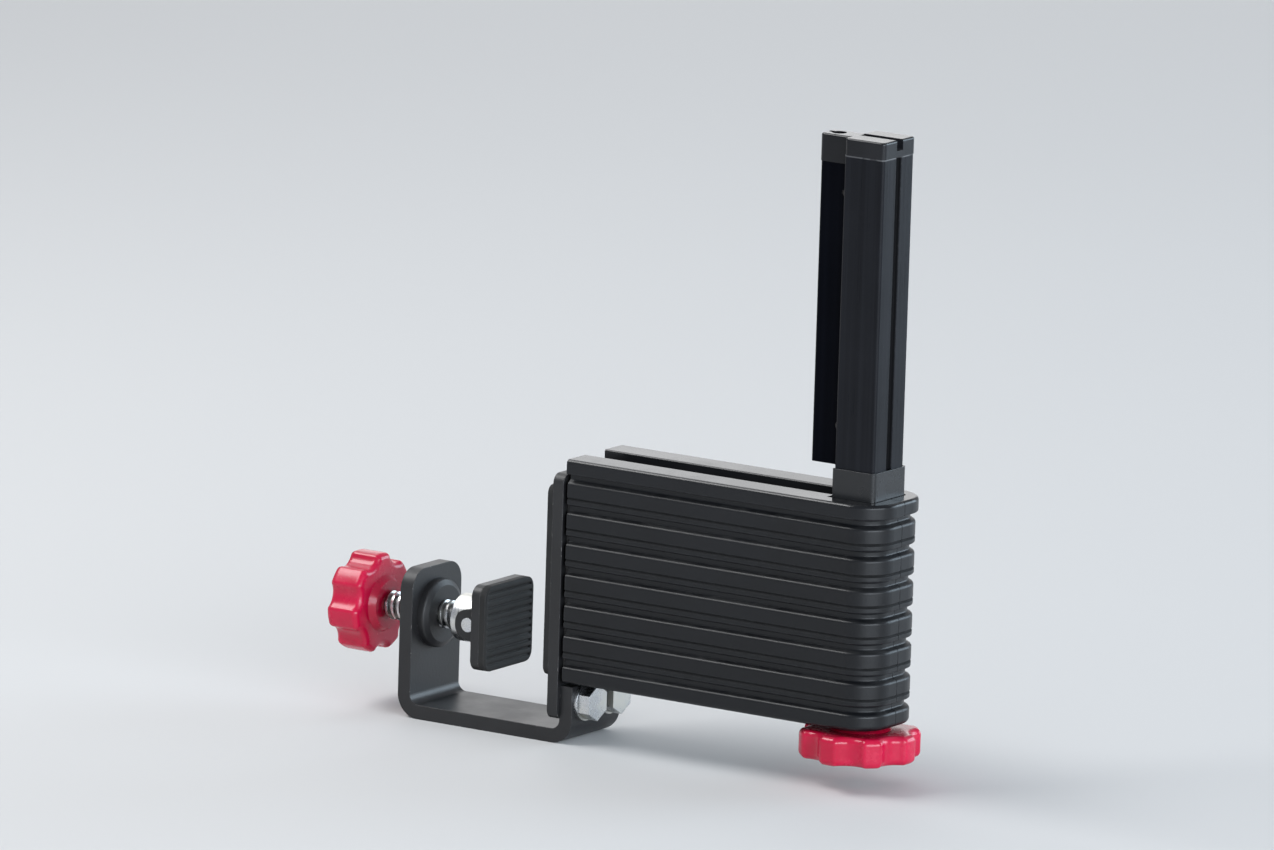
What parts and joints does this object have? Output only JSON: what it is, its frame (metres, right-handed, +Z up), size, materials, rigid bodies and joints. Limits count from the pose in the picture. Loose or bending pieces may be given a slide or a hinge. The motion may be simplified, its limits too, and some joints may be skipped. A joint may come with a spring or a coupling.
{
  "type": "table tennis net clamp",
  "caption": "Ribbed net-post bracket that hooks under a table's side rail, with a screw-raised net post, a net-holding groove, a lobed height knob and a swivelling clamp jaw.",
  "frame": {"origin": "on the face of the rubber back pad that rests on the board's side, in the clamp's middle plane, at the height of the playing surface", "axes": "+X away from the board towards the post and the rounded nose, +Y along the board's side, +Z up"},
  "size_m": [0.276, 0.05, 0.268],
  "materials": {
    "rib_plastic": "moulded charcoal plastic, fine texture, satin lands",
    "guide_plastic": "moulded dark plastic, semi-gloss",
    "black_steel": "black powder coat",
    "zinc_steel": "bright zinc plate",
    "dark_screw_steel": "black oxide",
    "bronze": "machined bronze",
    "black_anodised": "black anodised extrusion with die lines",
    "cap_plastic": "moulded black plastic, semi-gloss",
    "red_plastic": "moulded crimson plastic, semi-gloss",
    "black_trim": "black snap-in cap",
    "black_rubber": "moulded rubber, ribbed"
  },
  "bodies": {
    "bracket": {"rib_cover_front": "rib_plastic", "rib_cover_back": "rib_plastic", "cover_screws": "zinc_steel", "side_plate_front": "black_steel", "side_plate_back": "black_steel", "top_plate": "black_steel", "floor_plate": "black_steel", "back_plate": "black_steel", "back_pad": "black_rubber", "hook_arm": "black_steel", "hook_bolts": "zinc_steel", "bolt_washers": "zinc_steel", "screw_boss": "black_steel", "upper_guide": "guide_plastic", "lower_guide": "guide_plastic", "guide_rivets": "zinc_steel", "thrust_bush": "bronze"},
    "post": {"post_profile": "black_anodised", "post_cap": "cap_plastic", "cord_pin": "zinc_steel", "net_holder": "black_anodised", "holder_head": "cap_plastic", "holder_grub_screws": "dark_screw_steel", "post_foot": "cap_plastic", "lift_nut": "bronze", "nut_screws": "zinc_steel"},
    "height_knob": {"height_knob": "red_plastic", "height_knob_cap": "black_trim", "height_screw": "zinc_steel", "height_knob_pin": "zinc_steel", "screw_collar": "zinc_steel"},
    "jaw_carrier": {"thrust_cup": "zinc_steel", "swivel_pin": "zinc_steel", "cup_set_screw": "dark_screw_steel"},
    "jaw": {"jaw_plate": "black_steel", "jaw_facing": "black_rubber"},
    "clamp_screw": {"clamp_screw": "zinc_steel", "clamp_knob": "red_plastic", "clamp_knob_cap": "black_trim", "clamp_knob_pin": "zinc_steel"}
  },
  "joints": [
    {"name": "height_knob_turn", "type": "hinge", "parent": "bracket", "child": "height_knob", "pos_m": [0.143, 0, 0], "axis": [0, 0, 1], "range_deg": [-720, 2880]},
    {"name": "post_height", "type": "slide", "parent": "bracket", "child": "post", "axis": [0, 0, 1], "range_m": [-0.016, 0.004]},
    {"name": "clamp_screw_turn", "type": "hinge", "parent": "jaw_carrier", "child": "clamp_screw", "pos_m": [-0.09, 0, -0.062], "axis": [1, 0, 0], "range_deg": [-960, 1200]},
    {"name": "jaw_slide", "type": "slide", "parent": "bracket", "child": "jaw_carrier", "axis": [1, 0, 0], "range_m": [-0.008, 0.01]},
    {"name": "jaw_tilt", "type": "hinge", "parent": "jaw_carrier", "child": "jaw", "pos_m": [-0.042, 0, -0.062], "axis": [0, 1, 0], "range_deg": [-6, 6]}
  ],
  "couplings": [
    {"joint": "height_knob_turn", "follows": "post_height", "rad_per_m": -3141.6},
    {"joint": "clamp_screw_turn", "follows": "jaw_slide", "rad_per_m": 2094.4}
  ]
}
